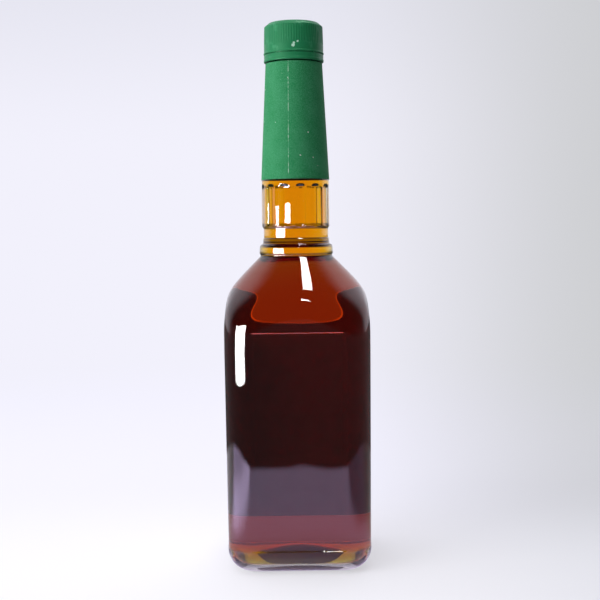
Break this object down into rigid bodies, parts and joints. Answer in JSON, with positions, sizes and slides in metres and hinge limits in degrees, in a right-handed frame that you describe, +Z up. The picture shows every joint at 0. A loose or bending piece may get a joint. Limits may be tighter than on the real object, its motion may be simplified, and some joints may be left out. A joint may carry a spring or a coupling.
{
  "type": "bourbon bottle",
  "caption": "Square clear-glass spirits bottle with sloping shoulders and a fluted round neck, full of amber spirit, shut by a green screw cap over a green paper neck sleeve.",
  "frame": {"origin": "centre of the ring that the bottle stands on", "axes": "+Z up along the bottle's axis, -Y towards its back with the neck paper's seam, +Y towards its front; the blank label covers the front and both sides"},
  "size_m": [0.0774, 0.0774, 0.29],
  "materials": {
    "glass": "clear flint glass, fire polished",
    "bourbon": "clear amber liquid",
    "cap": "satin moulded polypropylene",
    "neck_paper": "matt green printed paper with a pale cut edge",
    "label_paper": "matt paper, blank"
  },
  "bodies": {
    "root": {"bottle": "glass", "bourbon": "bourbon", "cap": "cap", "neck_sleeve": "neck_paper", "label": "label_paper"}
  },
  "joints": []
}
